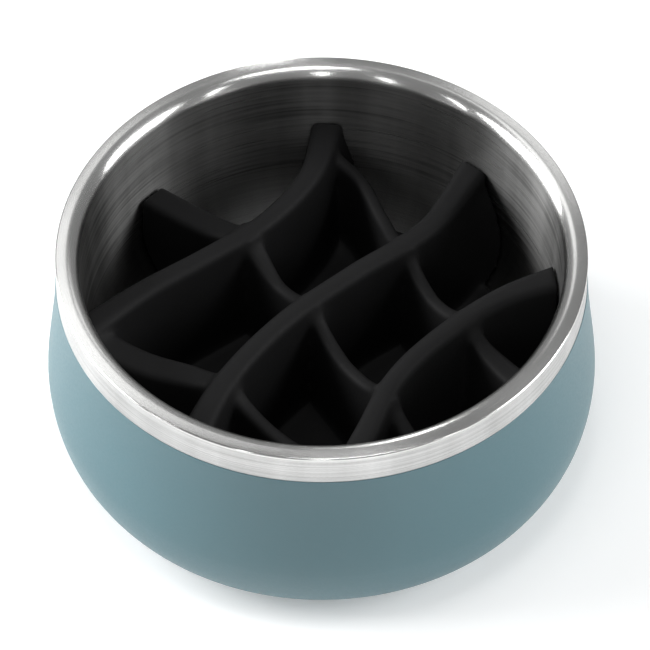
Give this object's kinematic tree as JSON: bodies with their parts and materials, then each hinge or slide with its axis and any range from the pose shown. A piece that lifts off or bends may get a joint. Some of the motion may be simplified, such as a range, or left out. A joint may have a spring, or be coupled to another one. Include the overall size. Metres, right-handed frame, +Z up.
{
  "type": "slow feeder bowl",
  "caption": "Round double-wall steel dog bowl with a lift-out silicone maze of wavy ridges that slows eating.",
  "frame": {"origin": "on the floor under the middle of the bowl, at the underside of the foot ring", "axes": "+Z up along the bowl's axis; -Y is the side towards the camera in the picture; +X is to the right in the picture"},
  "size_m": [0.2198, 0.2198, 0.1],
  "materials": {
    "bare_steel": "brushed around the bowl",
    "coated_steel": "satin powder coat, with a bare brushed band under the rim",
    "base_steel": "brushed",
    "foot_rubber": "matte",
    "silicone": "matte silicone"
  },
  "bodies": {
    "bowl": {"inner_bowl": "bare_steel", "outer_shell": "coated_steel", "base_plate": "base_steel", "foot_ring": "foot_rubber"},
    "insert": {"slow_feed_insert": "silicone"}
  },
  "joints": [
    {"name": "insert_lift", "type": "slide", "parent": "bowl", "child": "insert", "axis": [0, 0, 1], "range_m": [0, 0.11]}
  ]
}
